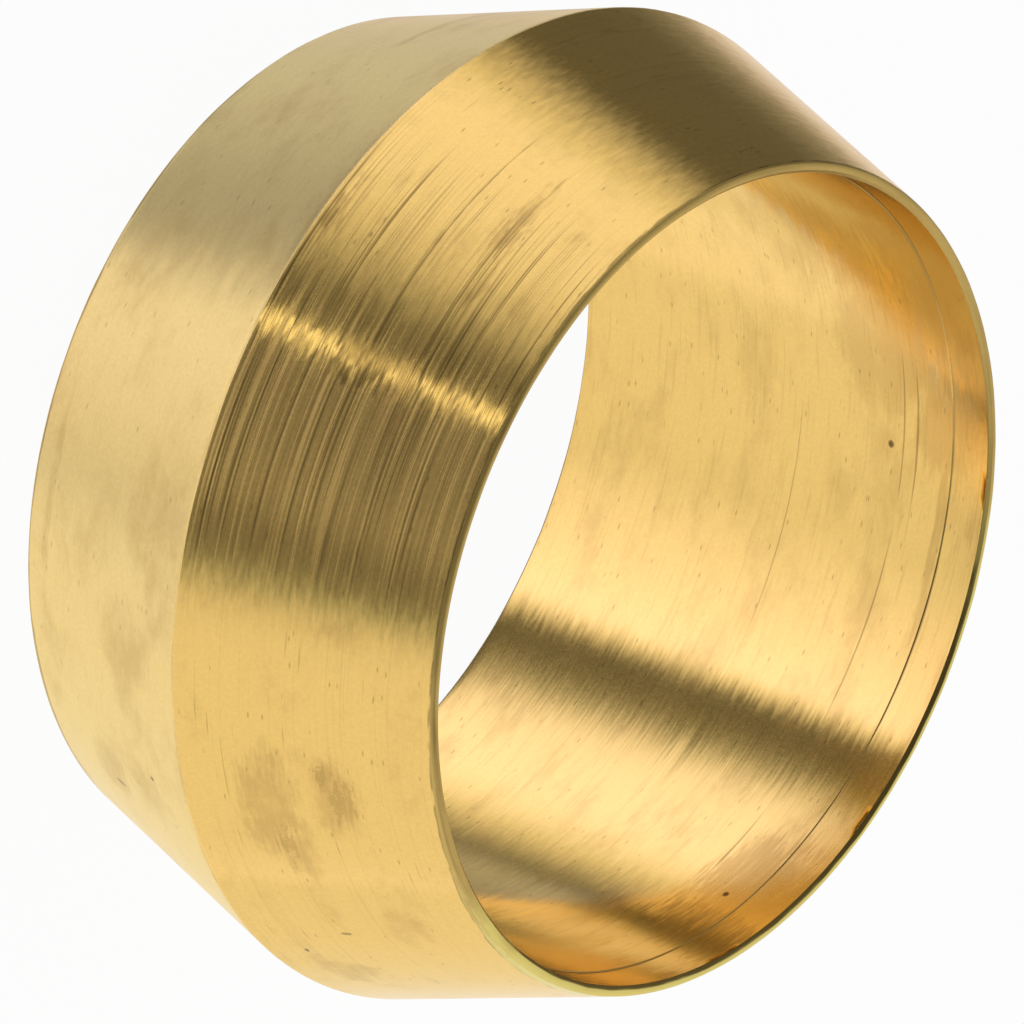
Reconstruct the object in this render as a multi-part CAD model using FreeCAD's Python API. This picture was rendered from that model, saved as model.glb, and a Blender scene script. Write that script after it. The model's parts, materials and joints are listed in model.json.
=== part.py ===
import FreeCAD, Part
import math
import os

# A compression olive: one turned brass ring with two like cones that meet at a ridge half way along.
# All sizes are in millimetres. The ring stands on one end, its axis is +Z, and the origin is the
# centre of the lower end. The section is the same at both ends, so it goes on the tube either way round.

# The tube that the ring slips over, and the gap left all round it
TUBE_DIAMETER = 15.0
SLIP_CLEARANCE = 0.1

# The outside: end to end, the slope of each cone to the axis in degrees, and the round on the ridge
LENGTH = 9.7
CONE_HALF_ANGLE = 17.7
RIDGE_RADIUS = 0.08

# Each mouth of the bore: a shallow relief that leads the tube in, and a chamfer on the edge
RELIEF_DEPTH = 0.86
RELIEF_RISE = 0.02
MOUTH_CHAMFER = 0.065

# Each end: the flat that is left between the chamfer and the round on the lip
END_LAND = 0.055
LIP_RADIUS = 0.1

# Sizes that follow from those above
BORE_RADIUS = TUBE_DIAMETER / 2 + SLIP_CLEARANCE
MOUTH_RADIUS = BORE_RADIUS + RELIEF_RISE
CHAMFER_RADIUS = MOUTH_RADIUS + MOUTH_CHAMFER
CONE_SLOPE = math.radians(CONE_HALF_ANGLE)
LIP_HALF_CORNER = (math.pi / 2 + CONE_SLOPE) / 2
END_RADIUS = CHAMFER_RADIUS + END_LAND + LIP_RADIUS / math.tan(LIP_HALF_CORNER)
RIDGE_HEIGHT = LENGTH / 2
PEAK_RADIUS = END_RADIUS + RIDGE_HEIGHT * math.tan(CONE_SLOPE)

AXIS_POINT = FreeCAD.Vector(0, 0, 0)
AXIS_DIRECTION = FreeCAD.Vector(0, 0, 1)


def section_corners():
    """List the half section's corners as (radius, height, rounding), up the outside and back down the bore."""
    lower_end = [
        (BORE_RADIUS, RELIEF_DEPTH + RELIEF_RISE, 0),
        (MOUTH_RADIUS, RELIEF_DEPTH, 0),
        (MOUTH_RADIUS, MOUTH_CHAMFER, 0),
        (CHAMFER_RADIUS, 0, 0),
        (END_RADIUS, 0, LIP_RADIUS),
    ]
    ridge = [(PEAK_RADIUS, RIDGE_HEIGHT, RIDGE_RADIUS)]
    upper_end = [(radius, LENGTH - height, rounding) for radius, height, rounding in reversed(lower_end)]
    return lower_end + ridge + upper_end


def rounded_corner(before, corner, after, rounding):
    """Return the start, middle and end of the arc that rounds one corner."""
    back = (before - corner).normalize()
    ahead = (after - corner).normalize()
    inward = (back + ahead).normalize()
    half_corner = back.getAngle(ahead) / 2
    run = rounding / math.tan(half_corner)
    middle = corner + inward * (rounding / math.sin(half_corner) - rounding)
    return corner + back * run, middle, corner + ahead * run


def section_face():
    """Draw the half section in the XZ plane, with its rounded corners as true arcs."""
    corners = section_corners()
    points = [FreeCAD.Vector(radius, 0, height) for radius, height, _ in corners]
    arcs = []
    for index, (_, _, rounding) in enumerate(corners):
        corner = points[index]
        after = points[(index + 1) % len(points)]
        if rounding > 0:
            arcs.append(rounded_corner(points[index - 1], corner, after, rounding))
        else:
            arcs.append((corner, corner, corner))

    edges = []
    for index, (start, middle, end) in enumerate(arcs):
        if corners[index][2] > 0:
            edges.append(Part.Arc(start, middle, end).toShape())
        next_start = arcs[(index + 1) % len(arcs)][0]
        edges.append(Part.LineSegment(end, next_start).toShape())
    return Part.Face(Part.Wire(edges))


def turned_ring():
    """Turn the half section once round the axis."""
    return section_face().revolve(AXIS_POINT, AXIS_DIRECTION, 360)


os.makedirs("parts", exist_ok=True)
turned_ring().exportStep("parts/olive.step")
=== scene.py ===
"""Dresses a turned brass compression olive, with its tool marks, stains and worn edges, and lights it."""

import json
import math
import random
from typing import NamedTuple

import bpy
from bpy.props import FloatProperty, FloatVectorProperty, IntProperty, PointerProperty
from mathutils import Matrix, Vector, noise


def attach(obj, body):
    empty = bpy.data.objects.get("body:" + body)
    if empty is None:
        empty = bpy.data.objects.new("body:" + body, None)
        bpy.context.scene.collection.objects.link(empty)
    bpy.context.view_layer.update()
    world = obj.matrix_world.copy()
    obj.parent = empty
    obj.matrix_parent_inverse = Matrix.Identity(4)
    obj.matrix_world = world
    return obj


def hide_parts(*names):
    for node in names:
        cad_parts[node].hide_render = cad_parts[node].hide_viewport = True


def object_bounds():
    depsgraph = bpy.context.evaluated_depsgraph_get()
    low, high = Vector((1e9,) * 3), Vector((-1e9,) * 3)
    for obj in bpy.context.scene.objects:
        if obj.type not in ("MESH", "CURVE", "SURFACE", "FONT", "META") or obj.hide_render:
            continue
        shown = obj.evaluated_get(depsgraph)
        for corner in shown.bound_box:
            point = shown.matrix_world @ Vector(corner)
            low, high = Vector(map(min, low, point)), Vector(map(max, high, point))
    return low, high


bl_info = {
    "name": "Compression Olive",
    "version": (1, 0, 0),
    "blender": (4, 5, 0),
    "location": "View3D > Sidebar > Olive",
    "description": "Turns a brass compression olive with its tool marks and stains, and lights it",
    "category": "Object",
}

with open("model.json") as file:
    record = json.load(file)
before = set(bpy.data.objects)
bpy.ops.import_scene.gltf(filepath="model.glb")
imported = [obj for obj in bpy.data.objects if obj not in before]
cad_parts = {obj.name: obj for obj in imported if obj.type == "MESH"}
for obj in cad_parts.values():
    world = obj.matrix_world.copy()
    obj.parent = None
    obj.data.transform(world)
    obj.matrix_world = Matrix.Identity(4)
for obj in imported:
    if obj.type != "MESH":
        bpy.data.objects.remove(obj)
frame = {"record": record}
CAD_LOW, CAD_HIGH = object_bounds()

MM = 0.001
MICRON = 0.000001
NODE = "olive"
BORE_MOUNT = next(mount for mount in frame["record"]["mounts"] if mount["name"] == "tube_bore")
CAD_REACH = min(CAD_HIGH.x, CAD_HIGH.y, -CAD_LOW.x, -CAD_LOW.y)

# The finishes, in the order of the ring's material slots
UPPER_CONE, LOWER_CONE, BORE, EDGES = range(4)

# Steps in each rounded corner, sharpest angle shaded smooth, and stretch on which a tool mark's ends fade
ARC_STEPS = 5
SMOOTH_ANGLE = math.radians(35)
MARK_FADE = math.radians(10)

# How dark each kind of dirt is, and the painted shade on the chamfers, from 0 to 1
TICK_DIRT = 0.5
STROKE_DIRT = 0.35
HAIRLINE_DIRT = 0.45
CHAMFER_SHADE = 0.85

# How much rougher stains, rubbed lines and grain make the metal
STAIN_ROUGHNESS = 0.12
RUBBED_ROUGHNESS = 0.22
GRAIN_ROUGHNESS = 0.06

# Cosines of the angles from the middle of the deep lines where they are shallow and where they are deep
LINES_SHALLOW = 0.86
LINES_DEEP = 0.94

# The share of those lines that is left elsewhere
LINES_LEFT = 0.12

# How far the grain turns clean brass towards tarnish
GRAIN_TARNISH = 0.16

# The metal's tint at a glancing view, and the turn that draws its gloss out across the lines
GLANCING_TINT = (1.0, 0.97, 0.8, 1.0)
ACROSS_THE_LINES = 0.25


class OliveSection(bpy.types.PropertyGroup):
    """Sizes of the turned section, which is the same at both ends"""

    length: FloatProperty(
        name="Length", description="End to end", default=CAD_HIGH.z - CAD_LOW.z,
        subtype="DISTANCE", unit="LENGTH", precision=6)
    ridge_reach: FloatProperty(
        name="Ridge reach", description="Radius over the rounded ridge", default=CAD_REACH,
        subtype="DISTANCE", unit="LENGTH", precision=6)
    bore_radius: FloatProperty(
        name="Bore radius", description="Radius of the straight bore",
        default=BORE_MOUNT["dims"]["r_mm"] * MM, subtype="DISTANCE", unit="LENGTH", precision=6)
    cone_slope: FloatProperty(
        name="Cone slope", description="Angle of each cone to the axis", default=math.radians(17.7),
        subtype="ANGLE", unit="ROTATION")
    ridge_round: FloatProperty(
        name="Ridge round", description="Radius of the round on the ridge", default=0.08 * MM,
        subtype="DISTANCE", unit="LENGTH", precision=6)
    lip_round: FloatProperty(
        name="Lip round", description="Radius of the round on each lip", default=0.1 * MM,
        subtype="DISTANCE", unit="LENGTH", precision=6)
    relief_depth: FloatProperty(
        name="Relief depth", description="How far the relief inside each mouth goes in", default=0.86 * MM,
        subtype="DISTANCE", unit="LENGTH", precision=6)
    relief_rise: FloatProperty(
        name="Relief rise", description="How much the relief opens the bore", default=0.02 * MM,
        subtype="DISTANCE", unit="LENGTH", precision=6)
    mouth_chamfer: FloatProperty(
        name="Mouth chamfer", description="Chamfer on the edge of each mouth", default=0.065 * MM,
        subtype="DISTANCE", unit="LENGTH", precision=6)
    edge_round: FloatProperty(
        name="Edge round", description="Wear on the small edges of each mouth", default=0.015 * MM,
        subtype="DISTANCE", unit="LENGTH", precision=6)
    segments: IntProperty(name="Segments", description="Steps round the ring", default=180, min=24)


class OliveFinish(bpy.types.PropertyGroup):
    """Colours and marks of the bare brass"""

    brass: FloatVectorProperty(
        name="Brass", description="Colour of clean turned brass", default=(0.84, 0.56, 0.17),
        subtype="COLOR", min=0.0, max=1.0)
    tarnish: FloatVectorProperty(
        name="Tarnish", description="Colour of the brown clouds on handled brass", default=(0.50, 0.30, 0.09),
        subtype="COLOR", min=0.0, max=1.0)
    # Also the colour of the painted shade at the mouths
    grime_and_shade: FloatVectorProperty(
        name="Grime and shade", description="Colour of pits, of dirt in the tool marks and of painted shade", default=(0.12, 0.07, 0.02),
        subtype="COLOR", min=0.0, max=1.0)
    lip: FloatVectorProperty(
        name="Lip", description="Colour of the dull strip round each lip", default=(0.52, 0.36, 0.11),
        subtype="COLOR", min=0.0, max=1.0)
    green: FloatVectorProperty(
        name="Green", description="Colour of the greenish stretch of the upper lip",
        default=(0.70, 0.58, 0.17), subtype="COLOR", min=0.0, max=1.0)
    mouth_dulling: FloatVectorProperty(
        name="Mouth dulling", description="Duller colour laid over the brass inside the mouths", default=(0.54, 0.46, 0.27),
        subtype="COLOR", min=0.0, max=1.0)
    pale: FloatVectorProperty(
        name="Pale", description="Colour of brass that has been rubbed pale", default=(0.92, 0.80, 0.42),
        subtype="COLOR", min=0.0, max=1.0)
    feed_pitch: FloatProperty(
        name="Feed pitch", description="Spacing of the tool marks on the turned cone", default=0.1 * MM,
        subtype="DISTANCE", unit="LENGTH", precision=6)
    feed_depth: FloatProperty(
        name="Feed depth", description="Depth of the tool marks on the turned cone", default=1.6 * MICRON,
        subtype="DISTANCE", unit="LENGTH", precision=8)


class OliveStudio(bpy.types.PropertyGroup):
    """Camera, floor and light"""

    axis_tilt: FloatProperty(
        name="Axis tilt", description="Angle between the ring's axis and the view",
        default=math.radians(53.89), subtype="ANGLE", unit="ROTATION")
    axis_roll: FloatProperty(
        name="Axis roll", description="How far the axis runs down to the right in the picture",
        default=math.radians(20.514), subtype="ANGLE", unit="ROTATION")
    lens: FloatProperty(
        name="Lens", description="Focal length, for a sensor 36 mm wide", default=850.0, unit="CAMERA")
    picture_width: FloatProperty(
        name="Picture width", description="Width of the picture at the upper end", default=18.393 * MM,
        subtype="DISTANCE", unit="LENGTH", precision=6)
    end_right: FloatProperty(
        name="End to the right",
        description="How far the upper end's centre lies right of the picture's middle",
        default=3.7188 * MM, subtype="DISTANCE", unit="LENGTH", precision=6)
    end_below: FloatProperty(
        name="End below", description="How far the upper end's centre lies below the picture's middle",
        default=1.2453 * MM, subtype="DISTANCE", unit="LENGTH", precision=6)
    floor_colour: FloatVectorProperty(
        name="Floor", description="Colour of the plain floor", default=(0.9, 0.9, 0.9),
        subtype="COLOR", min=0.0, max=1.0)
    floor_size: FloatProperty(
        name="Floor size", description="Side of the square floor", default=2.0,
        subtype="DISTANCE", unit="LENGTH")


# The section and its sampling

def rounded_corner(before, corner, after, rounding, steps):
    """Return points along the arc that rounds one corner of the section."""
    back = (before - corner).normalized()
    ahead = (after - corner).normalized()
    half = back.angle(ahead) / 2
    inward = (back + ahead).normalized()
    centre = corner + inward * (rounding / math.sin(half))
    start = corner + back * (rounding / math.tan(half)) - centre
    end = corner + ahead * (rounding / math.tan(half)) - centre
    turn = start.angle_signed(end)
    return [centre + Matrix.Rotation(-turn * step / steps, 2) @ start for step in range(steps + 1)]


def section_corners(section):
    """List the corners as (radius, height, rounding, finish of the run that follows, spacing on that run)."""
    slope = math.tan(section.cone_slope)
    peak = section.ridge_reach + section.ridge_round * (1 / math.cos(section.cone_slope) - 1)
    middle = section.length / 2
    end_radius = peak - middle * slope
    bore = section.bore_radius
    mouth = bore + section.relief_rise
    chamfer = section.mouth_chamfer
    relief = section.relief_depth
    step = relief + section.relief_rise
    top = section.length
    worn = section.edge_round
    coarse, fine, finest = 0.1 * MM, 0.025 * MM, 0.0168 * MM
    return [
        (bore, step, 0, BORE, fine),
        (mouth, relief, 0, BORE, coarse),
        (mouth, chamfer, worn, EDGES, fine),
        (mouth + chamfer, 0, worn, EDGES, fine),
        (end_radius, 0, section.lip_round, LOWER_CONE, coarse),
        (peak, middle, section.ridge_round, UPPER_CONE, finest),
        (end_radius, top, section.lip_round, EDGES, fine),
        (mouth + chamfer, top, worn, EDGES, fine),
        (mouth, top - chamfer, worn, BORE, coarse),
        (mouth, top - relief, 0, BORE, fine),
        (bore, top - step, 0, BORE, coarse),
    ]


def section_points(section):
    """Walk once round the half section and return its points with the finish of the strip after each."""
    corners = section_corners(section)
    places = [Vector((radius, height)) for radius, height, *_ in corners]
    arcs = []
    for index, (_, _, rounding, _, _) in enumerate(corners):
        corner = places[index]
        after = places[(index + 1) % len(places)]
        if rounding > 0:
            arcs.append(rounded_corner(places[index - 1], corner, after, rounding, ARC_STEPS))
        else:
            arcs.append([corner])

    points = []
    for index, (_, _, _, finish, spacing) in enumerate(corners):
        arc = arcs[index]
        arc_finish = EDGES if len(arc) > 1 else finish
        points += [(point, arc_finish) for point in arc[:-1]]
        end = arcs[(index + 1) % len(arcs)][0]
        steps = max(1, round((end - arc[-1]).length / spacing))
        points += [(arc[-1].lerp(end, step / steps), finish) for step in range(steps)]
    return points


# Real tool marks: shallow rings cut into the section

class ToolMark(NamedTuple):
    """One ring cut by the tool, deeper on some stretches than on others."""

    height: float
    width: float
    depth: float
    middle: float = 0.0
    span: float = math.tau
    waves: int = 2
    phase: float = 0.0

    def share(self, height):
        """Return how much of the mark's depth is reached at this height."""
        away = abs(height - self.height) / self.width
        return 0.5 + 0.5 * math.cos(math.pi * away) if away < 1 else 0.0

    def depth_at(self, azimuth):
        """Return the mark's depth at this azimuth, fading out at the ends of its span."""
        away = abs((azimuth - self.middle + math.pi) % math.tau - math.pi)
        fade = min(1.0, max(0.0, (self.span - away) / MARK_FADE))
        return self.depth * fade * (0.65 + 0.35 * math.sin(self.waves * azimuth + self.phase))


def feed_marks(seed, low, high, pitch, depth, middle=0.0, span=math.tau):
    """Return the close rings that a turning tool leaves between two heights, each of its own depth."""
    chance = random.Random(seed)
    count = int((high - low) / pitch)
    return [
        ToolMark(
            height=low + (step + 0.5 + chance.uniform(-0.35, 0.35)) * pitch,
            width=pitch * chance.uniform(0.3, 0.5),
            depth=depth * chance.uniform(0.15, 1.0),
            middle=middle,
            span=span,
            waves=chance.randint(1, 5),
            phase=chance.uniform(0, math.tau))
        for step in range(count)
    ]


def tool_marks(section, finish):
    """Return the marks of each finish, from the feed of the tool and from single deep scores."""
    top = section.length
    middle = top / 2
    facing, reach = math.radians(-10), math.radians(30)
    ridge_gap, end_gap = 0.1 * MM, 0.15 * MM
    upper = feed_marks(
        seed=3, low=middle + ridge_gap, high=top - end_gap, pitch=finish.feed_pitch, depth=finish.feed_depth,
        middle=facing, span=reach)
    score_width, ring_width = 0.035 * MM, 0.1 * MM
    # Each score's millimetres from the upper end, microns deep, degrees round and half span in degrees
    scores = (
        (1.79, 4, -18, 38),
        (2.79, 4, -16, 36),
        (2.93, 3, 3, 17),
        (3.06, 3, -1, 21),
        (3.30, 3, 4, 16),
        (4.60, 3, -15, 34),
        (4.68, 3, -18, 36),
        (4.76, 3, -12, 30),
    )
    for depth_in, microns, azimuth, span in scores:
        upper.append(ToolMark(
            top - depth_in * MM, score_width, microns * MICRON,
            math.radians(azimuth), math.radians(span), 1, azimuth))
    lower = feed_marks(
        seed=5, low=end_gap, high=middle - ridge_gap, pitch=3 * finish.feed_pitch,
        depth=0.4 * finish.feed_depth)
    rings = ((1.72, 3), (2.02, 4), (4.42, 3))
    bore = [ToolMark(top - depth_in * MM, ring_width, microns * MICRON, waves=1, phase=depth_in)
            for depth_in, microns in rings]
    return {UPPER_CONE: upper, LOWER_CONE: lower, BORE: bore, EDGES: []}


def waviness(place, finish):
    """Return the slight hollows, in metres, that hand and drum finishing leave on each surface."""
    size, depth = {
        UPPER_CONE: (1.6 * MM, 1.5 * MICRON),
        LOWER_CONE: (1.8 * MM, 2.0 * MICRON),
        BORE: (1.5 * MM, 2.0 * MICRON),
        EDGES: (0.6 * MM, 5.0 * MICRON),
    }[finish]
    return depth * (1 + noise.noise(place / size))


def ring_mesh(name, section, finish):
    """Turn the section round the axis, cut its tool marks and return the mesh with a map for its finish."""
    points = section_points(section)
    marks = tool_marks(section, finish)
    count = len(points)
    turns = section.segments
    vertices = []
    for index, (point, zone) in enumerate(points):
        run = points[(index + 1) % count][0] - points[index - 1][0]
        normal = Vector((run.y, -run.x)).normalized()
        active = [(mark, mark.share(point.y)) for mark in marks[zone]]
        active = [(mark, share) for mark, share in active if share > 0]
        for turn in range(turns):
            azimuth = math.tau * turn / turns
            around = Vector((math.sin(azimuth), -math.cos(azimuth), 0))
            place = around * point.x + Vector((0, 0, point.y))
            depth = waviness(place, zone)
            depth += sum(share * mark.depth_at(azimuth) for mark, share in active)
            vertices.append(place - depth * (around * normal.x + Vector((0, 0, normal.y))))

    faces = []
    zones = []
    for index, (_, zone) in enumerate(points):
        following = (index + 1) % count
        for turn in range(turns):
            beside = (turn + 1) % turns
            faces.append((index * turns + turn, index * turns + beside,
                          following * turns + beside, following * turns + turn))
            zones.append(zone)

    lengths = [(points[(index + 1) % count][0] - points[index][0]).length for index in range(count)]
    along = [sum(lengths[:index]) / sum(lengths) for index in range(count + 1)]
    mesh = bpy.data.meshes.new(name)
    mesh.from_pydata(vertices, [], faces)
    mesh.polygons.foreach_set("material_index", zones)
    layer = mesh.uv_layers.new(name="OFBake")
    for index in range(count):
        for turn in range(turns):
            loop = (index * turns + turn) * 4
            corners = ((turn, index), (turn + 1, index), (turn + 1, index + 1), (turn, index + 1))
            for step, (across, row) in enumerate(corners):
                layer.uv[loop + step].vector = (across / turns, along[row])
    mesh.shade_smooth()
    mesh.set_sharp_from_angle(angle=SMOOTH_ANGLE)
    mesh.validate()
    return mesh


# Shader node groups shared by the finishes

NUMBER = "NodeSocketFloat"
VECTOR = "NodeSocketVector"


def new_group(name, inputs, outputs):
    """Make an empty shader node group with these sockets, given as (name, kind, default)."""
    group = bpy.data.node_groups.new(name, "ShaderNodeTree")
    for socket_name, kind, default in inputs:
        socket = group.interface.new_socket(socket_name, in_out="INPUT", socket_type=kind)
        socket.default_value = default
    for socket_name in outputs:
        kind = VECTOR if socket_name == "Normal" else NUMBER
        group.interface.new_socket(socket_name, in_out="OUTPUT", socket_type=kind)
    return group, group.nodes.new("NodeGroupInput").outputs, group.nodes.new("NodeGroupOutput").inputs


def add_node(tree, kind, values=None, **settings):
    """Add a node, set its fields and its input values, and return it."""
    node = tree.nodes.new(kind)
    for field, value in settings.items():
        setattr(node, field, value)
    for key, value in (values or {}).items():
        if isinstance(value, bpy.types.NodeSocket):
            tree.links.new(value, node.inputs[key])
        else:
            node.inputs[key].default_value = value
    return node


def maths(tree, operation, first, second=0.0, third=0.0):
    """Add a Math node on values or sockets and return its output."""
    return add_node(tree, "ShaderNodeMath", {0: first, 1: second, 2: third}, operation=operation).outputs[0]


def vector_maths(tree, operation, first, second):
    """Add a Vector Math node on two vectors or sockets and return its vector."""
    return add_node(tree, "ShaderNodeVectorMath", {0: first, 1: second}, operation=operation).outputs[0]


def scaled(tree, vector, scale):
    """Add a Vector Math node that scales a vector or socket and return its vector."""
    return add_node(tree, "ShaderNodeVectorMath", {0: vector, "Scale": scale}, operation="SCALE").outputs[0]


def ramp(tree, value, low, high):
    """Return a value that rises smoothly from 0 to 1 between two limits."""
    node = add_node(tree, "ShaderNodeMapRange", {0: value, 1: low, 2: high}, interpolation_type="SMOOTHSTEP")
    return node.outputs[0]


def object_place(tree, around, along):
    """Return the place on the ring, scaled by one number across the axis and by another along it."""
    place = add_node(tree, "ShaderNodeTexCoord").outputs["Object"]
    scale = add_node(tree, "ShaderNodeCombineXYZ", {0: around, 1: around, 2: along}).outputs[0]
    return vector_maths(tree, "MULTIPLY", place, scale)


def cloudy(tree, place, detail, roughness):
    """Return soft noise at a scaled place."""
    node = add_node(tree, "ShaderNodeTexNoise", {
        "Vector": place, "Scale": 1.0, "Detail": detail, "Roughness": roughness})
    return node.outputs[0]


def ring_place_group(section):
    """Where a point lies on the ring: degrees round it, and millimetres from the ends and from the axis."""
    group, _, made = new_group("ring place", [], ["Azimuth", "Depth", "End Depth", "Radius"])
    place = add_node(group, "ShaderNodeTexCoord").outputs["Object"]
    aside, back, up = add_node(group, "ShaderNodeSeparateXYZ", {0: place}).outputs
    front = maths(group, "MULTIPLY", back, -1.0)
    turn = maths(group, "ARCTAN2", aside, front)
    group.links.new(maths(group, "MULTIPLY", turn, math.degrees(1)), made["Azimuth"])
    depth = maths(group, "MULTIPLY_ADD", up, -1 / MM, section.length / MM)
    group.links.new(depth, made["Depth"])
    rise = maths(group, "MULTIPLY", up, 1 / MM)
    group.links.new(maths(group, "MINIMUM", depth, rise), made["End Depth"])
    reach = maths(group, "MULTIPLY_ADD", front, front, maths(group, "MULTIPLY", aside, aside))
    group.links.new(maths(group, "MULTIPLY", maths(group, "SQRT", reach), 1 / MM), made["Radius"])
    return group


def turning_lines_group():
    """Hairlines round the axis: fine along it, long round it, some of them dirty and some rubbed."""
    group, given, made = new_group(
        "turning lines",
        [("Pitch", NUMBER, 0.05), ("Stretch", NUMBER, 60.0)],
        ["Height", "Dirt", "Rubbed"])
    along = maths(group, "DIVIDE", 1 / MM, given["Pitch"])
    around = maths(group, "DIVIDE", along, given["Stretch"])
    lines = cloudy(group, object_place(group, around, along), 2.0, 0.55)
    group.links.new(lines, made["Height"])
    group.links.new(ramp(group, lines, 0.45, 0.30), made["Dirt"])
    group.links.new(ramp(group, lines, 0.52, 0.70), made["Rubbed"])
    return group


def mottle_group():
    """Uneven sheen: strands, longer round the ring than along it, and a fine grain."""
    group, given, made = new_group(
        "mottle",
        [("Strand Size", NUMBER, 0.4), ("Strand Stretch", NUMBER, 1.0), ("Grain Size", NUMBER, 0.07)],
        ["Strand", "Grain"])
    along = maths(group, "DIVIDE", 1 / MM, given["Strand Size"])
    around = maths(group, "DIVIDE", along, given["Strand Stretch"])
    fine = maths(group, "DIVIDE", 1 / MM, given["Grain Size"])
    group.links.new(cloudy(group, object_place(group, around, along), 1.5, 0.5), made["Strand"])
    group.links.new(cloudy(group, object_place(group, fine, fine), 2.0, 0.6), made["Grain"])
    return group


def tilt_group():
    """Lean of each strand round the ring, which sets its reflections a little to one side."""
    group, given, made = new_group(
        "strand tilt",
        [("Strand", NUMBER, 0.5), ("Amount", NUMBER, 0.05), ("Normal", VECTOR, (0, 0, 1))],
        ["Normal"])
    round_ring = add_node(group, "ShaderNodeTangent", direction_type="RADIAL", axis="Z").outputs[0]
    lean = maths(group, "MULTIPLY", maths(group, "SUBTRACT", given["Strand"], 0.5), given["Amount"])
    aside = scaled(group, round_ring, lean)
    leaning = vector_maths(group, "ADD", given["Normal"], aside)
    level = add_node(group, "ShaderNodeVectorMath", {0: leaning}, operation="NORMALIZE").outputs[0]
    group.links.new(level, made["Normal"])
    return group


def tarnish_group():
    """Brown clouds with soft, grainy edges, which gather where the boost is high."""
    group, given, made = new_group(
        "tarnish clouds",
        [("Size", NUMBER, 2.0), ("Stretch", NUMBER, 1.0), ("Threshold", NUMBER, 0.5),
         ("Softness", NUMBER, 0.12), ("Boost", NUMBER, 0.0)],
        ["Mask"])
    along = maths(group, "DIVIDE", 1 / MM, given["Size"])
    around = maths(group, "DIVIDE", along, given["Stretch"])
    clouds = maths(group, "ADD", cloudy(group, object_place(group, around, along), 4.0, 0.66), given["Boost"])
    low = maths(group, "SUBTRACT", given["Threshold"], given["Softness"])
    high = maths(group, "ADD", given["Threshold"], given["Softness"])
    group.links.new(ramp(group, clouds, low, high), made["Mask"])
    return group


def ticks_group():
    """Scattered ticks or strokes along the turning direction, as long and as close as the spacings say."""
    group, given, made = new_group(
        "ticks and strokes",
        [("Spacing Round", NUMBER, 0.5), ("Spacing Along", NUMBER, 0.13), ("Radius", NUMBER, 0.2),
         ("Share", NUMBER, 0.3)],
        ["Mask"])
    around = maths(group, "DIVIDE", 1 / MM, given["Spacing Round"])
    along = maths(group, "DIVIDE", 1 / MM, given["Spacing Along"])
    place = object_place(group, around, along)
    cells = add_node(group, "ShaderNodeTexVoronoi", {"Vector": place, "Scale": 1.0, "Randomness": 1.0})
    spot = ramp(group, cells.outputs["Distance"], given["Radius"], 0.0)
    tint = add_node(group, "ShaderNodeSeparateColor", {0: cells.outputs["Color"]}).outputs[0]
    chosen = maths(group, "LESS_THAN", tint, given["Share"])
    group.links.new(maths(group, "MULTIPLY", spot, chosen), made["Mask"])
    return group


def patch_group():
    """One mark at a stated place on the ring, with a ragged edge."""
    group, given, made = new_group(
        "placed patch",
        [("Azimuth", NUMBER, 0.0), ("Depth", NUMBER, 0.0), ("Strand", NUMBER, 0.5),
         ("At Azimuth", NUMBER, 0.0), ("At Depth", NUMBER, 0.0), ("Half Turn", NUMBER, 5.0),
         ("Half Depth", NUMBER, 0.5), ("Ragged", NUMBER, 1.0)],
        ["Mask"])
    turn = maths(group, "SUBTRACT", given["Azimuth"], given["At Azimuth"])
    turn = maths(group, "WRAP", turn, 180.0, -180.0)
    across = maths(group, "DIVIDE", turn, given["Half Turn"])
    drop = maths(group, "SUBTRACT", given["Depth"], given["At Depth"])
    down = maths(group, "DIVIDE", drop, given["Half Depth"])
    away = maths(group, "MULTIPLY_ADD", across, across, maths(group, "MULTIPLY", down, down))
    rough = maths(group, "MULTIPLY", maths(group, "SUBTRACT", given["Strand"], 0.5), given["Ragged"])
    group.links.new(ramp(group, maths(group, "SUBTRACT", rough, away), -1.0, -0.1), made["Mask"])
    return group


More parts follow.
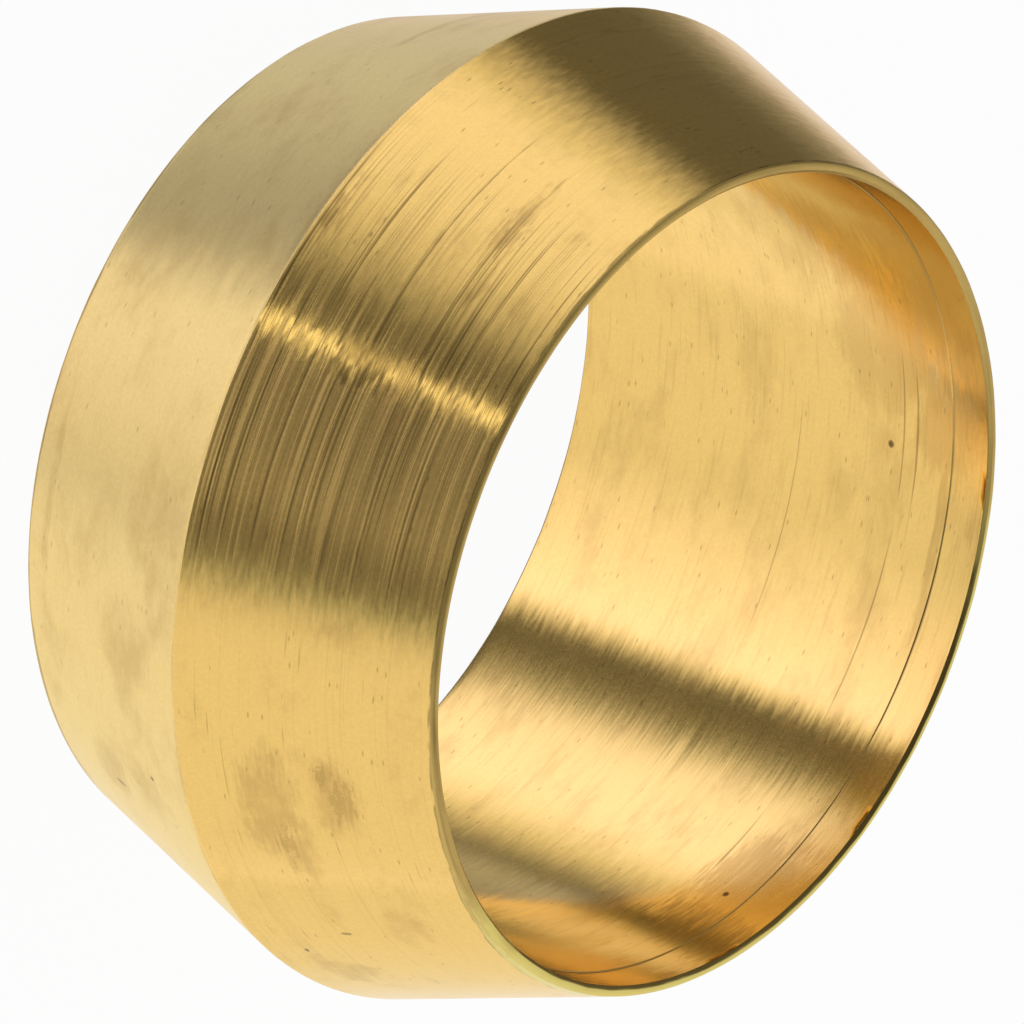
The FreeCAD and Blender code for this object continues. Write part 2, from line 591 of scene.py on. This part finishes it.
def lip_group():
    """The dull strip round each lip, wider on one side, its hairline, green stretch and painted chamfer
    shade.
    """
    group, given, made = new_group(
        "lip strip",
        [("Azimuth", NUMBER, 0.0), ("Depth", NUMBER, 0.0), ("End Depth", NUMBER, 0.0),
         ("Radius", NUMBER, 7.7), ("Strand", NUMBER, 0.5), ("Chamfer Radius", NUMBER, 7.7)],
        ["Strip", "Hairline", "Green", "Chamfer Shade"])
    narrow, widening, raggedness, softness, hair_width = 0.085, 0.2, 0.06, 0.015, 0.035
    turn = maths(group, "MULTIPLY", given["Azimuth"], math.radians(1))
    sway = maths(group, "SINE", maths(group, "SUBTRACT", turn, math.radians(20)))
    sway = maths(group, "MAXIMUM", sway, 0.0)
    bound = maths(group, "MULTIPLY_ADD", maths(group, "MULTIPLY", sway, sway), widening, narrow)
    uneven = maths(group, "SUBTRACT", given["Strand"], 0.5)
    ragged = maths(group, "MULTIPLY_ADD", uneven, raggedness, bound)
    past = maths(group, "SUBTRACT", given["End Depth"], ragged)
    group.links.new(ramp(group, past, softness, -softness), made["Strip"])
    broken = ramp(group, given["Strand"], 0.35, 0.6)
    hairline = ramp(group, maths(group, "ABSOLUTE", past), hair_width, 0.0)
    group.links.new(maths(group, "MULTIPLY", hairline, broken), made["Hairline"])
    facing = maths(group, "COSINE", maths(group, "SUBTRACT", turn, math.radians(135)))
    facing = maths(group, "MULTIPLY_ADD", uneven, 0.6, facing)
    upper = maths(group, "LESS_THAN", given["Depth"], 1.0)
    group.links.new(maths(group, "MULTIPLY", upper, ramp(group, facing, 0.2, 0.6)), made["Green"])
    # Painted shade on the chamfer inside each mouth, mostly on the side round 135 degrees
    inner = maths(group, "MULTIPLY_ADD", uneven, 0.09, given["Radius"])
    inside = ramp(group, maths(group, "SUBTRACT", inner, given["Chamfer Radius"]), 0.02, -0.02)
    group.links.new(maths(group, "MULTIPLY", inside, ramp(group, facing, 0.35, 0.7)), made["Chamfer Shade"])
    return group


class Mark(NamedTuple):
    """One stain, score, pit or painted shade: degrees round, millimetres from the upper end, half sizes and
    strength.
    """

    azimuth: float
    depth: float
    half_turn: float
    half_depth: float
    amount: float
    ragged: float = 1.5


class Surface(NamedTuple):
    """How the tools and handling left one surface, and any painted shade on it. Sizes are in millimetres and
    line depths in microns.
    """

    name: str
    roughness: float
    spread: float
    pitch: float
    stretch: float
    line_depth: float
    line_dirt: float
    strand_size: float
    strand_stretch: float
    tilt: float
    cloud_size: float
    cloud_stretch: float
    cloud_level: float
    cloud_softness: float
    cloud_amount: float
    tick_share: float
    stroke_share: float = 0.0
    pale: float = 0.0
    stains: tuple = ()
    speckles: tuple = ()
    # Scores and pits; on the bore also painted shade along the relief step and inside the mouth
    scores: tuple = ()
    dulling_patches: tuple = ()
    rubbed: tuple = ()
    lines_at: float = None
    lip: float = 0.0


def surfaces(section):
    """Return the four surfaces in the order of the material slots."""
    chamfer = (section.bore_radius + section.relief_rise + section.mouth_chamfer) / MM
    turned = Surface(
        "turned cone brass", roughness=0.19, spread=0.88, pitch=0.045, stretch=150, line_depth=1.6,
        line_dirt=0.65, strand_size=0.08, strand_stretch=5, tilt=0.07, cloud_size=0.9, cloud_stretch=1.3,
        cloud_level=0.68, cloud_softness=0.18, cloud_amount=0.45, tick_share=0.4, stroke_share=0.3,
        lines_at=-10,
        stains=(
            Mark(46, 1.95, 8, 0.6, 0.26, 0.6), Mark(48, 3.25, 10, 0.8, 0.28, 0.6),
            Mark(55, 2.9, 6, 0.5, 0.24, 0.6), Mark(70, 1.64, 7, 0.7, 0.16, 0.6),
            Mark(82, 3.72, 5, 0.6, 0.18, 0.6), Mark(-34, 1.86, 11, 0.28, 0.28, 2.5),
            Mark(-25, 1.7, 6, 0.22, 0.26, 2.5), Mark(-23.5, 4.65, 6, 0.22, 0.28, 2.5),
            Mark(-6, 2.0, 8, 0.4, 0.24),
        ),
        speckles=(
            Mark(45.5, 1.85, 4, 0.34, 0.24, 9.0), Mark(42.3, 2.22, 1.6, 0.16, 0.26, 7.0),
            Mark(53.5, 3.05, 3.2, 0.2, 0.24, 9.0), Mark(47, 3.3, 9, 0.7, 0.1, 8.0),
        ),
        scores=(
            Mark(-9, 2.74, 3, 0.76, 0.52, 3.0), Mark(-2, 1.75, 24, 0.045, 0.55, 1.2),
            Mark(-18, 2.79, 36, 0.03, 0.55, 1.0), Mark(-24, 4.68, 3, 0.09, 0.35, 3.0),
            Mark(-23.5, 3.86, 0.5, 0.05, 0.45), Mark(-34, 1.84, 10, 0.035, 0.32, 2.5),
            Mark(43, 2.1, 3, 0.14, 0.14, 2.5), Mark(47.5, 1.78, 5, 0.16, 0.14, 3.0),
            Mark(55, 2.9, 4, 0.14, 0.12, 2.5), Mark(75.5, 4.04, 0.5, 0.05, 0.8),
            Mark(71, 2.94, 0.35, 0.14, 0.6), Mark(43, 4.0, 6, 0.015, 0.3),
        ), lip=chamfer)
    smooth = Surface(
        "smooth cone brass", roughness=0.30, spread=0.4, pitch=0.06, stretch=12, line_depth=0.8,
        line_dirt=0.05, strand_size=0.3, strand_stretch=3, tilt=0.08, cloud_size=1.2, cloud_stretch=1.6,
        cloud_level=0.63, cloud_softness=0.18, cloud_amount=0.42, tick_share=0.2, pale=0.34,
        stains=(
            Mark(18, 6.1, 10, 0.8, 0.18, 0.9), Mark(34, 6.5, 11, 0.95, 0.13, 0.9),
            Mark(56, 7.75, 6, 0.7, 0.2, 0.8), Mark(20, 9.1, 18, 0.15, 0.16),
            Mark(-62, 7.2, 10, 0.15, 0.16), Mark(-20, 8.5, 8, 0.7, 0.12),
        ),
        scores=(Mark(50, 6.05, 0.4, 0.07, 0.8), Mark(57.3, 7.55, 0.5, 0.2, 0.6, 1.0)), lip=chamfer)
    bored = Surface(
        "bored brass", roughness=0.15, spread=0.4, pitch=0.07, stretch=20, line_depth=0.8, line_dirt=0.1,
        strand_size=0.07, strand_stretch=8, tilt=0.05, cloud_size=0.9, cloud_stretch=2.2, cloud_level=0.6,
        cloud_softness=0.16, cloud_amount=0.38, tick_share=0.45,
        stains=(
            Mark(213, 1.0, 10, 0.9, 0.2), Mark(212, 5.65, 10, 0.7, 0.16), Mark(240, 3.0, 18, 2.6, 0.12),
            Mark(196, 1.0, 18, 0.16, 0.25), Mark(134, 0.7, 18, 1.8, 0.28),
            Mark(250, 0.8, 30, 2.5, 0.26), Mark(221, 2.4, 12, 1.3, 0.3, 0.6),
            Mark(111, 1.8, 9, 1.4, 0.25, 0.6),
        ),
        # Patches of duller colour just inside the upper mouth
        dulling_patches=(
            Mark(103, 1.5, 33, 4.4, 0.9, 0.6), Mark(258, 1.8, 26, 4.4, 0.9, 0.6),
            Mark(234, 0.4, 21, 1.7, 0.8, 0.6),
        ),
        # Stretches of the relief step kept clear of the duller colour
        rubbed=(Mark(245, 0.87, 46, 0.035, 1.0, 0.2), Mark(106, 0.87, 36, 0.035, 1.0, 0.2)),
        # The first four scores, 0.86 to 0.87 mm in, are painted shade along the relief step
        scores=(
            Mark(183, 0.86, 18, 0.03, 0.5, 1.2), Mark(215, 0.86, 22, 0.03, 0.3, 1.2),
            Mark(252, 0.87, 34, 0.035, 0.6, 0.4), Mark(106, 0.87, 32, 0.035, 0.5, 0.4),
            # The mark at 225 degrees, 0.3 mm in, is painted shade just inside the mouth
            Mark(143, 0.5, 17, 1.6, 0.18, 0.6), Mark(225, 0.3, 6, 0.6, 0.16, 0.8),
            Mark(208, 1.7, 15, 0.03, 0.5, 0.9), Mark(180, 2.02, 18, 0.025, 0.5, 0.8),
            Mark(144, 2.02, 9, 0.03, 0.5, 0.8),
            Mark(210, 2.02, 14, 0.025, 0.45, 0.9), Mark(190, 4.44, 24, 0.02, 0.35, 0.9),
            Mark(127, 0.9, 8, 1.7, 0.42), Mark(136, 1.32, 0.7, 0.08, 1.0, 0.4),
            Mark(207, 2.31, 0.7, 0.09, 0.9, 0.4),
        ))
    worn = Surface(
        "worn edge brass", roughness=0.42, spread=0.0, pitch=0.03, stretch=120, line_depth=1.0, line_dirt=0.3,
        strand_size=0.25, strand_stretch=3, tilt=0.2, cloud_size=0.7, cloud_stretch=1.5, cloud_level=0.56,
        cloud_softness=0.14, cloud_amount=0.35, tick_share=0.2, pale=0.3, lip=chamfer)
    return turned, smooth, bored, worn


def mixed(tree, factor, first, second):
    """Mix two colours and return the colour socket."""
    return add_node(tree, "ShaderNodeMix", {0: factor, 6: first, 7: second}, data_type="RGBA").outputs[2]


def placed_marks(tree, group, place, strand, marks, start):
    """Return the strongest of a surface's single marks, over a mask that is there already."""
    strongest = start
    for mark in marks:
        node = add_node(tree, "ShaderNodeGroup", {
            "Azimuth": place["Azimuth"], "Depth": place["Depth"], "Strand": strand,
            "At Azimuth": mark.azimuth, "At Depth": mark.depth, "Half Turn": mark.half_turn,
            "Half Depth": mark.half_depth, "Ragged": mark.ragged}, node_tree=group)
        strength = maths(tree, "MULTIPLY", node.outputs["Mask"], mark.amount)
        strongest = maths(tree, "MAXIMUM", strongest, strength)
    return strongest


def brass_material(surface, finish, groups):
    """Bare brass: hairlines, stains, ticks and painted shade over its colour, and a gloss drawn out across
    the lines.
    """
    material = bpy.data.materials.new(surface.name)
    material.use_nodes = True
    tree = material.node_tree
    shader = tree.nodes["Principled BSDF"]

    def filled(name, values):
        """Add one of the shared groups, set its inputs and return its outputs."""
        return add_node(tree, "ShaderNodeGroup", values, node_tree=groups[name]).outputs

    place = filled("place", {})
    lines = filled("lines", {"Pitch": surface.pitch, "Stretch": surface.stretch})
    mottle = filled("mottle", {"Strand Size": surface.strand_size, "Strand Stretch": surface.strand_stretch})
    ticks = filled("ticks", {"Share": surface.tick_share})

    boost = placed_marks(tree, groups["patch"], place, mottle["Strand"], surface.stains, 0.0)
    clouds = filled("tarnish", {
        "Size": surface.cloud_size, "Stretch": surface.cloud_stretch, "Threshold": surface.cloud_level,
        "Softness": surface.cloud_softness, "Boost": boost})
    stained = maths(tree, "MULTIPLY", clouds["Mask"], surface.cloud_amount)
    height = maths(tree, "MULTIPLY", lines["Height"], surface.line_depth)
    dirt_and_shade = maths(tree, "MULTIPLY", lines["Dirt"], surface.line_dirt)
    rough = maths(tree, "MULTIPLY_ADD", stained, STAIN_ROUGHNESS, surface.roughness)
    if surface.lines_at is not None:
        turn = maths(tree, "SUBTRACT", place["Azimuth"], surface.lines_at)
        turn = maths(tree, "MULTIPLY", turn, math.radians(1))
        cut = ramp(tree, maths(tree, "COSINE", turn), LINES_SHALLOW, LINES_DEEP)
        cut = maths(tree, "MULTIPLY_ADD", cut, 1 - LINES_LEFT, LINES_LEFT)
        height = maths(tree, "MULTIPLY", height, cut)
        dirt_and_shade = maths(tree, "MULTIPLY", dirt_and_shade, cut)
        rubbed = maths(tree, "MULTIPLY", lines["Rubbed"], cut)
        rough = maths(tree, "MULTIPLY_ADD", rubbed, RUBBED_ROUGHNESS, rough)
    dirt_and_shade = maths(tree, "MAXIMUM", dirt_and_shade, maths(tree, "MULTIPLY", ticks["Mask"], TICK_DIRT))
    if surface.stroke_share:
        strokes = filled("ticks", {
            "Spacing Round": 1.7, "Spacing Along": 0.1, "Radius": 0.24, "Share": surface.stroke_share})
        dirt_and_shade = maths(tree, "MAXIMUM", dirt_and_shade, maths(tree, "MULTIPLY", strokes["Mask"], STROKE_DIRT))
    if surface.speckles:
        streaky = maths(tree, "MULTIPLY", maths(tree, "ADD", mottle["Strand"], mottle["Grain"]), 0.5)
        dirt_and_shade = placed_marks(tree, groups["patch"], place, streaky, surface.speckles, dirt_and_shade)
    # Scores and pits, and on the bore painted shade along the relief step and just inside the mouth
    dirt_and_shade = placed_marks(tree, groups["patch"], place, mottle["Strand"], surface.scores, dirt_and_shade)

    clean = Vector(finish.brass).lerp(Vector(finish.pale), surface.pale)
    handled = clean.lerp(Vector(finish.tarnish), GRAIN_TARNISH)
    colour = mixed(tree, ramp(tree, mottle["Grain"], 0.75, 0.25), (*clean, 1), (*handled, 1))
    # A duller colour laid over the brass inside the mouths, kept off the relief step
    if surface.dulling_patches:
        dulled = placed_marks(tree, groups["patch"], place, mottle["Strand"], surface.dulling_patches, 0.0)
        cleared = placed_marks(tree, groups["patch"], place, mottle["Strand"], surface.rubbed, 0.0)
        dulled = maths(tree, "MAXIMUM", maths(tree, "SUBTRACT", dulled, cleared), 0.0)
        colour = mixed(tree, dulled, colour, (*finish.mouth_dulling, 1))
    colour = mixed(tree, stained, colour, (*finish.tarnish, 1))
    if surface.lip:
        lip = filled("lip", {
            "Azimuth": place["Azimuth"], "Depth": place["Depth"], "End Depth": place["End Depth"],
            "Radius": place["Radius"], "Strand": mottle["Strand"], "Chamfer Radius": surface.lip})
        dull = mixed(tree, lip["Green"], (*finish.lip, 1), (*finish.green, 1))
        colour = mixed(tree, lip["Strip"], colour, dull)
        dirt_and_shade = maths(tree, "MAXIMUM", dirt_and_shade, maths(tree, "MULTIPLY", lip["Hairline"], HAIRLINE_DIRT))
        # Painted shade on the chamfer of each mouth, on one side of the ring
        dirt_and_shade = maths(tree, "MAXIMUM", dirt_and_shade, maths(tree, "MULTIPLY", lip["Chamfer Shade"], CHAMFER_SHADE))
    # Dirt and painted shade darken the colour towards the grime colour
    colour = mixed(tree, dirt_and_shade, colour, (*finish.grime_and_shade, 1))
    tree.links.new(colour, shader.inputs["Base Color"])

    rough = maths(tree, "SUBTRACT", rough, GRAIN_ROUGHNESS / 2)
    rough = maths(tree, "MULTIPLY_ADD", mottle["Grain"], GRAIN_ROUGHNESS, rough)
    tree.links.new(rough, shader.inputs["Roughness"])
    relief = add_node(tree, "ShaderNodeBump", {"Strength": 1.0, "Distance": MICRON, "Height": height})
    tilt = filled("tilt", {
        "Strand": mottle["Strand"], "Amount": surface.tilt, "Normal": relief.outputs[0]})
    tree.links.new(tilt["Normal"], shader.inputs["Normal"])
    tangent = add_node(tree, "ShaderNodeTangent", direction_type="RADIAL", axis="Z")
    tree.links.new(tangent.outputs[0], shader.inputs["Tangent"])
    shader.inputs["Metallic"].default_value = 1.0
    shader.inputs["Specular Tint"].default_value = GLANCING_TINT
    shader.inputs["Anisotropic"].default_value = surface.spread
    shader.inputs["Anisotropic Rotation"].default_value = ACROSS_THE_LINES
    return material


class OLIVE_OT_turn_ring(bpy.types.Operator):
    """Turn the brass ring, cut its tool marks and give each surface its finish"""

    bl_idname = "olive.turn_ring"
    bl_label = "Turn the ring"

    def execute(self, context):
        """Build the ring in place of its plain solid."""
        section = context.scene.olive_section
        finish = context.scene.olive_finish
        mesh = ring_mesh("turned_olive", section, finish)
        groups = {
            "place": ring_place_group(section),
            "lines": turning_lines_group(),
            "mottle": mottle_group(),
            "tilt": tilt_group(),
            "tarnish": tarnish_group(),
            "ticks": ticks_group(),
            "patch": patch_group(),
            "lip": lip_group(),
        }
        for surface in surfaces(section):
            mesh.materials.append(brass_material(surface, finish, groups))
        ring = bpy.data.objects.new("turned_olive", mesh)
        context.scene.collection.objects.link(ring)
        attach(ring, "root")
        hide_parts(NODE)
        return {"FINISHED"}


# The studio: a plain floor, soft panels of light all round, and the camera

def picture_axes(studio):
    """Return the picture's right, up and towards-the-camera directions in the ring's frame."""
    rise = math.pi / 2 - studio.axis_tilt
    toward = Vector((0, -math.cos(rise), math.sin(rise)))
    level = Vector((1, 0, 0))
    steep = Vector((0, math.sin(rise), math.cos(rise)))
    sine, cosine = math.sin(studio.axis_roll), math.cos(studio.axis_roll)
    return cosine * steep - sine * level, -cosine * level - sine * steep, toward


class LightPanel:
    """A flat panel of light, by the edges it shows from the ring, as slopes from its own middle."""

    def __init__(self, middle, across, turned, sides, ends, side_blur, end_blur, light,
                 side_fall=0.0, end_fall=0.0, tint=(1, 1, 1)):
        self.middle = Vector(middle)
        across = Vector(across)
        along = self.middle.cross(across)
        angle = math.radians(turned)
        self.across = across * math.cos(angle) + along * math.sin(angle)
        self.along = along * math.cos(angle) - across * math.sin(angle)
        self.sides = sides
        self.ends = ends
        self.side_blur = side_blur
        self.end_blur = end_blur
        self.light = light
        self.side_fall = side_fall
        self.end_fall = end_fall
        self.tint = tint


def studio_panels():
    """Return the panels, in the picture's directions: right, up and towards the camera."""
    right, up, toward = Vector((1, 0, 0)), Vector((0, 1, 0)), Vector((0, 0, 1))
    overhead = LightPanel(
        up, toward, turned=-34, sides=(-0.3, 0.9), ends=(-0.455, 0.9), side_blur=(0.3, 0.6),
        end_blur=(0.02, 0.1), light=1.33, side_fall=-0.1, end_fall=-0.75)
    overhead_edge = LightPanel(
        up, toward, turned=-34, sides=(-0.3, 1.05), ends=(-0.482, 1.0), side_blur=(0.3, 0.6),
        end_blur=(0.025, 0.12), light=0.6, tint=(0.8, 1, 0.85))
    side = LightPanel(
        -right, toward, turned=10.4, sides=(-1.6, 0.85), ends=(-0.2, 0.82), side_blur=(0.4, 0.2),
        end_blur=(0.1, 0.13), light=0.9, side_fall=0.6, end_fall=0.6)
    table = LightPanel(
        -up, toward, turned=-19, sides=(-40, 1.0), ends=(-40, 40), side_blur=(1, 0.5),
        end_blur=(1, 1), light=1.04)
    table_edge = LightPanel(
        -up, toward, turned=-19, sides=(-40, 1.15), ends=(-40, 40), side_blur=(1, 0.5),
        end_blur=(1, 1), light=0.8, tint=(0.85, 1, 0.9))
    low_back = LightPanel(
        -toward, right, turned=0, sides=(-3, -0.7), ends=(0.7, 3), side_blur=(0.3, 0.3),
        end_blur=(0.3, 0.3), light=1.18)
    backdrop = LightPanel(
        -toward, right, turned=20, sides=(-3, 3), ends=(-0.45, 0.4), side_blur=(0.3, 0.3),
        end_blur=(0.26, 0.1), light=1.0, tint=(1, 0.94, 1))
    backdrop_fade = LightPanel(
        -toward, right, turned=0, sides=(-0.1, 3), ends=(-0.75, 0.4), side_blur=(0.2, 0.3),
        end_blur=(0.3, 0.1), light=0.27)
    back_wall = LightPanel(
        -toward, right, turned=0, sides=(-1.9, 0.1), ends=(-1.5, 0.3), side_blur=(0.5, 0.2),
        end_blur=(0.3, 0.1), light=0.66, side_fall=-0.12, tint=(1, 1.08, 1.3))
    right_wall = LightPanel(
        right, toward, turned=0, sides=(-1.2, 0.8), ends=(-0.8, 0.3), side_blur=(0.2, 0.2),
        end_blur=(0.2, 0.2), light=0.7)
    front = LightPanel(
        toward, right, turned=0, sides=(-1.3, 1.3), ends=(-1.2, 1.0), side_blur=(0.3, 0.3),
        end_blur=(0.3, 0.3), light=0.22)
    slit = LightPanel(
        (-0.427, 0.478, 0.767), (-0.47, -0.84, 0.27), turned=0, sides=(-0.024, 0.024), ends=(-0.5, 0.5),
        side_blur=(0.01, 0.01), end_blur=(0.1, 0.1), light=2.1, tint=(1, 0.98, 0.7))
    return (overhead, overhead_edge, side, table, table_edge, low_back, backdrop, backdrop_fade, back_wall,
            right_wall, front, slit)


# Light of the dark room, how far strong light turns cool, and how white the floor looks to the camera
ROOM_LIGHT = 0.14
COOLING = 0.6
FLOOR_WHITE = 0.96


def panel_group():
    """How much light comes from one flat panel in a given direction."""
    group, given, made = new_group(
        "light panel",
        [("Direction", VECTOR, (0, 0, 1)), ("Middle", VECTOR, (0, 0, 1)), ("Across", VECTOR, (1, 0, 0)),
         ("Along", VECTOR, (0, 1, 0)), ("Side Low", NUMBER, -1.0), ("Side High", NUMBER, 1.0),
         ("End Low", NUMBER, -1.0), ("End High", NUMBER, 1.0), ("Side Low Blur", NUMBER, 0.1),
         ("Side High Blur", NUMBER, 0.1), ("End Low Blur", NUMBER, 0.1), ("End High Blur", NUMBER, 0.1),
         ("Strength", NUMBER, 1.0), ("Side Fall", NUMBER, 0.0), ("End Fall", NUMBER, 0.0)],
        ["Light"])

    def dot(name):
        """Return how far the direction points along one of the panel's own."""
        return add_node(group, "ShaderNodeVectorMath", {
            0: given["Direction"], 1: given[name]}, operation="DOT_PRODUCT").outputs["Value"]

    def edge(value, name, sign):
        """Return a mask that rises across one blurred edge of the panel."""
        blur = given[name + " Blur"]
        outer = maths(group, "MULTIPLY_ADD", blur, -sign, given[name])
        inner = maths(group, "MULTIPLY_ADD", blur, sign, given[name])
        return ramp(group, value, outer, inner)

    grazing = 0.001
    facing = dot("Middle")
    ahead = maths(group, "MAXIMUM", facing, grazing)
    side = maths(group, "DIVIDE", dot("Across"), ahead)
    end = maths(group, "DIVIDE", dot("Along"), ahead)
    mask = maths(group, "GREATER_THAN", facing, 2 * grazing)
    for value, name in ((side, "Side"), (end, "End")):
        mask = maths(group, "MULTIPLY", mask, edge(value, name + " Low", 1))
        mask = maths(group, "MULTIPLY", mask, edge(value, name + " High", -1))
    light = maths(group, "MULTIPLY_ADD", side, given["Side Fall"], given["Strength"])
    light = maths(group, "MULTIPLY_ADD", end, given["End Fall"], light)
    light = maths(group, "MAXIMUM", light, 0.0)
    group.links.new(maths(group, "MULTIPLY", mask, light), made["Light"])
    return group


def studio_world(studio):
    """Light the ring with the panels, and show plain white to the camera."""
    world = bpy.data.worlds.new("soft studio")
    world.use_nodes = True
    tree = world.node_tree
    direction = add_node(tree, "ShaderNodeTexCoord").outputs["Generated"]
    group = panel_group()
    turn = Matrix(picture_axes(studio)).transposed()
    light = (ROOM_LIGHT, ROOM_LIGHT, ROOM_LIGHT)
    for panel in studio_panels():
        node = add_node(tree, "ShaderNodeGroup", {
            "Direction": direction, "Middle": turn @ panel.middle, "Across": turn @ panel.across,
            "Along": turn @ panel.along, "Side Low": panel.sides[0], "Side High": panel.sides[1],
            "End Low": panel.ends[0], "End High": panel.ends[1], "Side Low Blur": panel.side_blur[0],
            "Side High Blur": panel.side_blur[1], "End Low Blur": panel.end_blur[0],
            "End High Blur": panel.end_blur[1], "Strength": panel.light, "Side Fall": panel.side_fall,
            "End Fall": panel.end_fall}, node_tree=group)
        light = vector_maths(tree, "MAXIMUM", light, scaled(tree, panel.tint, node.outputs["Light"]))

    parts = add_node(tree, "ShaderNodeSeparateXYZ", {0: light}).outputs
    excess = maths(tree, "MAXIMUM", maths(tree, "SUBTRACT", parts[2], 1.0), 0.0)
    cool = maths(tree, "MULTIPLY", parts[2], maths(tree, "MULTIPLY_ADD", excess, COOLING, 1.0))
    hue = add_node(tree, "ShaderNodeCombineXYZ", {0: parts[0], 1: parts[1], 2: cool}).outputs[0]
    seen = add_node(tree, "ShaderNodeLightPath").outputs["Is Camera Ray"]
    shown = mixed(tree, seen, hue, (1, 1, 1, 1))
    tree.links.new(shown, tree.nodes["Background"].inputs["Color"])
    world.cycles.sampling_method = "NONE"
    return world


def floor_material(studio):
    """A pale floor that looks white to the camera and keeps a soft shadow."""
    material = bpy.data.materials.new("pale floor")
    material.use_nodes = True
    tree = material.node_tree
    tree.nodes.clear()
    matt = add_node(tree, "ShaderNodeBsdfDiffuse", {"Color": (*studio.floor_colour, 1)})
    white = add_node(tree, "ShaderNodeEmission", {"Color": (1, 1, 1, 1), "Strength": 1.0})
    seen = add_node(tree, "ShaderNodeLightPath").outputs["Is Camera Ray"]
    share = maths(tree, "MULTIPLY", seen, FLOOR_WHITE)
    both = add_node(tree, "ShaderNodeMixShader", {0: share, 1: matt.outputs[0], 2: white.outputs[0]})
    out = add_node(tree, "ShaderNodeOutputMaterial", {"Surface": both.outputs[0]})
    out.is_active_output = True
    return material


class OLIVE_OT_set_stage(bpy.types.Operator):
    """Set the floor, the soft light and the camera round the ring"""

    bl_idname = "olive.set_stage"
    bl_label = "Set the stage"

    def execute(self, context):
        """Build the stage and point the camera."""
        scene = context.scene
        studio = scene.olive_studio
        half = studio.floor_size / 2
        mesh = bpy.data.meshes.new("floor")
        corners = [(-half, -half, 0), (half, -half, 0), (half, half, 0), (-half, half, 0)]
        mesh.from_pydata(corners, [], [(0, 1, 2, 3)])
        mesh.materials.append(floor_material(studio))
        floor = bpy.data.objects.new("floor", mesh)
        scene.collection.objects.link(floor)
        floor.visible_glossy = False
        floor.visible_shadow = False

        scene.world = studio_world(studio)
        scene.view_settings.view_transform = "Standard"

        right, up, toward = picture_axes(studio)
        camera = bpy.data.cameras.new("camera")
        camera.lens = studio.lens
        camera.sensor_width = 36.0
        camera.clip_start = 0.01
        camera.clip_end = 10.0
        upper_end = Vector((0, 0, scene.olive_section.length))
        aim = upper_end - right * studio.end_right + up * studio.end_below
        distance = studio.picture_width * studio.lens / camera.sensor_width
        holder = bpy.data.objects.new("camera", camera)
        holder.matrix_world = Matrix.Translation(aim + toward * distance) @ Matrix(
            (right, up, toward)).transposed().to_4x4()
        scene.collection.objects.link(holder)
        scene.camera = holder
        return {"FINISHED"}


class OLIVE_PT_sidebar(bpy.types.Panel):
    """The olive's settings and steps"""

    bl_idname = "OLIVE_PT_sidebar"
    bl_label = "Compression Olive"
    bl_space_type = "VIEW_3D"
    bl_region_type = "UI"
    bl_category = "Olive"

    def draw(self, context):
        """List the settings and the operators."""
        for settings in (context.scene.olive_section, context.scene.olive_finish, context.scene.olive_studio):
            column = self.layout.column()
            for name in settings.__annotations__:
                column.prop(settings, name)
        self.layout.operator("olive.turn_ring")
        self.layout.operator("olive.set_stage")


CLASSES = (OliveSection, OliveFinish, OliveStudio, OLIVE_OT_turn_ring, OLIVE_OT_set_stage, OLIVE_PT_sidebar)


def register():
    """Register the classes and hang the settings on the scene."""
    for entry in CLASSES:
        bpy.utils.register_class(entry)
    bpy.types.Scene.olive_section = PointerProperty(type=OliveSection)
    bpy.types.Scene.olive_finish = PointerProperty(type=OliveFinish)
    bpy.types.Scene.olive_studio = PointerProperty(type=OliveStudio)


def unregister():
    """Take the settings off the scene and unregister the classes."""
    del bpy.types.Scene.olive_section
    del bpy.types.Scene.olive_finish
    del bpy.types.Scene.olive_studio
    for entry in reversed(CLASSES):
        bpy.utils.unregister_class(entry)


def main():
    """Build the ring and the stage."""
    register()
    bpy.ops.olive.turn_ring()
    bpy.ops.olive.set_stage()


if __name__ == "__main__":
    main()
